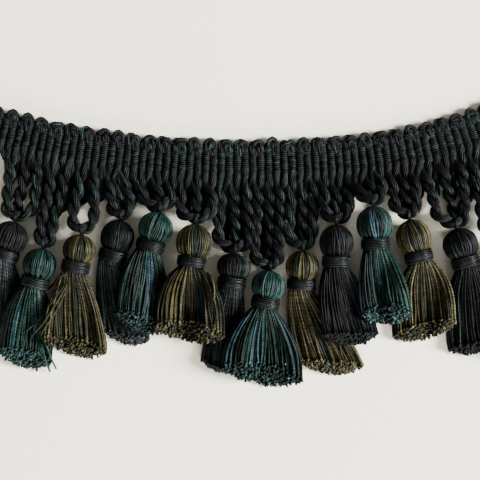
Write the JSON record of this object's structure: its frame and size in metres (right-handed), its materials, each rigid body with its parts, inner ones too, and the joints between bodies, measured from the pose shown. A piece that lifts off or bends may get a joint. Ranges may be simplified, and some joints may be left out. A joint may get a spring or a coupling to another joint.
{
  "type": "tassel fringe trim",
  "caption": "Swagged furnishing trim lying flat: a woven ribbed heading with small loops on top, twisted bullion cords, and ball-headed tassels with bound necks and cut skirts.",
  "frame": {"origin": "on the heading's flat back, at mid-length and mid-width of the band", "axes": "+X along the trim, +Y from the tassels to the picots, +Z out of the face; the trim lies on z = 0"},
  "size_m": [0.245, 0.1215, 0.0182],
  "materials": {
    "gimp": "matt wrapped cord, dark green and plum grey",
    "yarn_dark": "soft yarn, near-black plum with green threads",
    "yarn_teal": "soft yarn, mixed dark green, teal and steel blue",
    "yarn_olive": "soft yarn, mixed olive gold and dark green",
    "thread": "fine dark thread, slight sheen"
  },
  "bodies": {
    "root": {"heading": "gimp", "bullion": "gimp", "tassel_01": "yarn_dark", "binding_01": "thread", "tie_01": "thread", "tassel_02": "yarn_teal", "binding_02": "thread", "tie_02": "thread", "tassel_03": "yarn_olive", "binding_03": "thread", "tie_03": "thread", "tassel_04": "yarn_dark", "binding_04": "thread", "tie_04": "thread", "tassel_05": "yarn_teal", "binding_05": "thread", "tie_05": "thread", "tassel_06": "yarn_olive", "binding_06": "thread", "tie_06": "thread", "tassel_07": "yarn_dark", "binding_07": "thread", "tie_07": "thread", "tassel_08": "yarn_teal", "binding_08": "thread", "tie_08": "thread", "tassel_09": "yarn_olive", "binding_09": "thread", "tie_09": "thread", "tassel_10": "yarn_dark", "binding_10": "thread", "tie_10": "thread", "tassel_11": "yarn_teal", "binding_11": "thread", "tie_11": "thread", "tassel_12": "yarn_olive", "binding_12": "thread", "tie_12": "thread", "tassel_13": "yarn_dark", "binding_13": "thread", "tie_13": "thread", "tassel_14": "yarn_teal", "binding_14": "thread", "tie_14": "thread"}
  },
  "joints": []
}
